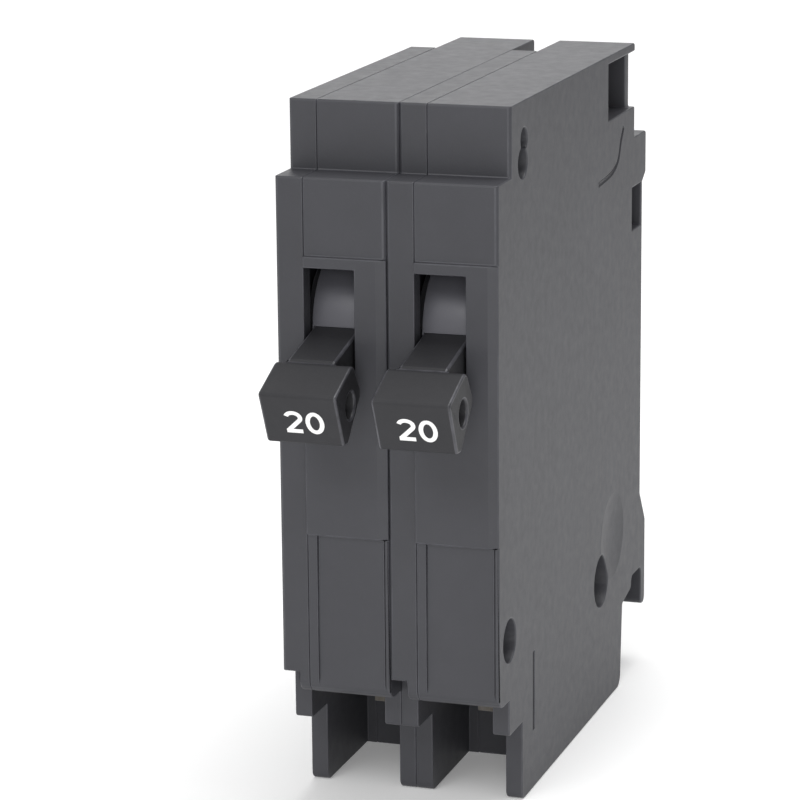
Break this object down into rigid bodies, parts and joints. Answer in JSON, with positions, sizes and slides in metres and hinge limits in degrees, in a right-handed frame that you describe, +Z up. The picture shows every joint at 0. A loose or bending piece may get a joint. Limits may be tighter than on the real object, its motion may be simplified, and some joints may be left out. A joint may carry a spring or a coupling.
{
  "type": "tandem plug-in circuit breaker",
  "caption": "One-inch tandem plug-in circuit breaker: two half-width poles side by side, each with its own toggle handle, trip mechanism, line jaw and wire clamp.",
  "frame": {"origin": "centre of the bounding box at its bottom: midway between the two poles, on the plane of the case's bottom", "axes": "+X to the right seen from the handles, +Y from the handles back to the panel, +Z up towards the line slots"},
  "size_m": [0.0254, 0.0775, 0.0802],
  "materials": {
    "case_plastic": "matte moulded thermoset, charcoal grey",
    "cover_plastic": "matte moulded thermoset, charcoal grey",
    "handle_plastic": "satin black moulded plastic",
    "shield_plastic": "satin grey moulded plastic",
    "marking_ink": "pad-printed white ink, rating numerals only",
    "steel": "stamped steel",
    "plated_steel": "zinc-plated stamped steel",
    "spring_steel": "drawn spring wire",
    "screw_steel": "dark zinc-plated steel",
    "rivet_steel": "darkened steel",
    "copper": "stamped copper strap",
    "plated_copper": "tin-plated copper",
    "braid_copper": "braided copper wire",
    "silver": "silver alloy button",
    "bimetal": "rolled bimetal strip",
    "brass": "brass screw"
  },
  "bodies": {
    "case": {"left_cover": "cover_plastic", "left_base": "case_plastic", "left_pivot_pins": "steel", "left_stationary_contact": "silver", "left_line_terminal": "copper", "left_line_jaw": "plated_copper", "left_bimetal": "bimetal", "left_magnet_yoke": "plated_steel", "left_braid": "braid_copper", "left_load_terminal": "plated_copper", "left_calibration_screw": "brass", "left_arc_plates": "plated_steel", "right_cover": "cover_plastic", "right_base": "case_plastic", "right_pivot_pins": "steel", "right_stationary_contact": "silver", "right_line_terminal": "copper", "right_line_jaw": "plated_copper", "right_bimetal": "bimetal", "right_magnet_yoke": "plated_steel", "right_braid": "braid_copper", "right_load_terminal": "plated_copper", "right_calibration_screw": "brass", "right_arc_plates": "plated_steel", "case_rivets": "rivet_steel"},
    "left_handle_body": {"left_handle": "handle_plastic", "left_slot_shield": "shield_plastic"},
    "left_contact_body": {"left_contact_arm": "copper", "left_moving_contact": "silver", "left_toggle_spring": "spring_steel"},
    "left_cradle_body": {"left_cradle": "steel"},
    "left_armature_body": {"left_armature": "plated_steel"},
    "left_screw_body": {"left_terminal_screw": "screw_steel"},
    "left_clamp_body": {"left_wire_clamp": "screw_steel"},
    "right_handle_body": {"right_handle": "handle_plastic", "right_slot_shield": "shield_plastic"},
    "right_contact_body": {"right_contact_arm": "copper", "right_moving_contact": "silver", "right_toggle_spring": "spring_steel"},
    "right_cradle_body": {"right_cradle": "steel"},
    "right_armature_body": {"right_armature": "plated_steel"},
    "right_screw_body": {"right_terminal_screw": "screw_steel"},
    "right_clamp_body": {"right_wire_clamp": "screw_steel"}
  },
  "joints": [
    {"name": "left_handle_swing", "type": "hinge", "parent": "case", "child": "left_handle_body", "pos_m": [-0.00635, -0.01655, 0.055], "axis": [-1, 0, 0], "range_deg": [0, 36]},
    {"name": "left_contact_swing", "type": "hinge", "parent": "case", "child": "left_contact_body", "pos_m": [-0.00635, -0.00455, 0.047], "axis": [-1, 0, 0], "range_deg": [0, 8]},
    {"name": "left_cradle_trip", "type": "hinge", "parent": "case", "child": "left_cradle_body", "pos_m": [-0.00635, 0.02345, 0.047], "axis": [1, 0, 0], "range_deg": [0, 12]},
    {"name": "left_armature_pull", "type": "hinge", "parent": "case", "child": "left_armature_body", "pos_m": [-0.00635, 0.00125, 0.0212], "axis": [1, 0, 0], "range_deg": [0, 4.1]},
    {"name": "left_screw_turn", "type": "hinge", "parent": "left_clamp_body", "child": "left_screw_body", "pos_m": [-0.00635, -0.01085, 0.0119], "axis": [0, 1, 0], "range_deg": [0, 540]},
    {"name": "left_clamp_travel", "type": "slide", "parent": "case", "child": "left_clamp_body", "axis": [0, 1, 0], "range_m": [0, 0.0014]},
    {"name": "right_handle_swing", "type": "hinge", "parent": "case", "child": "right_handle_body", "pos_m": [0.00635, -0.01655, 0.055], "axis": [-1, 0, 0], "range_deg": [0, 36]},
    {"name": "right_contact_swing", "type": "hinge", "parent": "case", "child": "right_contact_body", "pos_m": [0.00635, -0.00455, 0.047], "axis": [-1, 0, 0], "range_deg": [0, 8]},
    {"name": "right_cradle_trip", "type": "hinge", "parent": "case", "child": "right_cradle_body", "pos_m": [0.00635, 0.02345, 0.047], "axis": [1, 0, 0], "range_deg": [0, 12]},
    {"name": "right_armature_pull", "type": "hinge", "parent": "case", "child": "right_armature_body", "pos_m": [0.00635, 0.00125, 0.0212], "axis": [1, 0, 0], "range_deg": [0, 4.1]},
    {"name": "right_screw_turn", "type": "hinge", "parent": "right_clamp_body", "child": "right_screw_body", "pos_m": [0.00635, -0.01085, 0.0119], "axis": [0, 1, 0], "range_deg": [0, 540]},
    {"name": "right_clamp_travel", "type": "slide", "parent": "case", "child": "right_clamp_body", "axis": [0, 1, 0], "range_m": [0, 0.0014]}
  ],
  "couplings": [
    {"joint": "left_contact_swing", "follows": "left_handle_swing", "ratio": 0.22},
    {"joint": "left_armature_pull", "follows": "left_cradle_trip", "ratio": 0.33333},
    {"joint": "left_screw_turn", "follows": "left_clamp_travel", "rad_per_m": 6730.7},
    {"joint": "right_contact_swing", "follows": "right_handle_swing", "ratio": 0.22},
    {"joint": "right_armature_pull", "follows": "right_cradle_trip", "ratio": 0.33333},
    {"joint": "right_screw_turn", "follows": "right_clamp_travel", "rad_per_m": 6730.7}
  ]
}
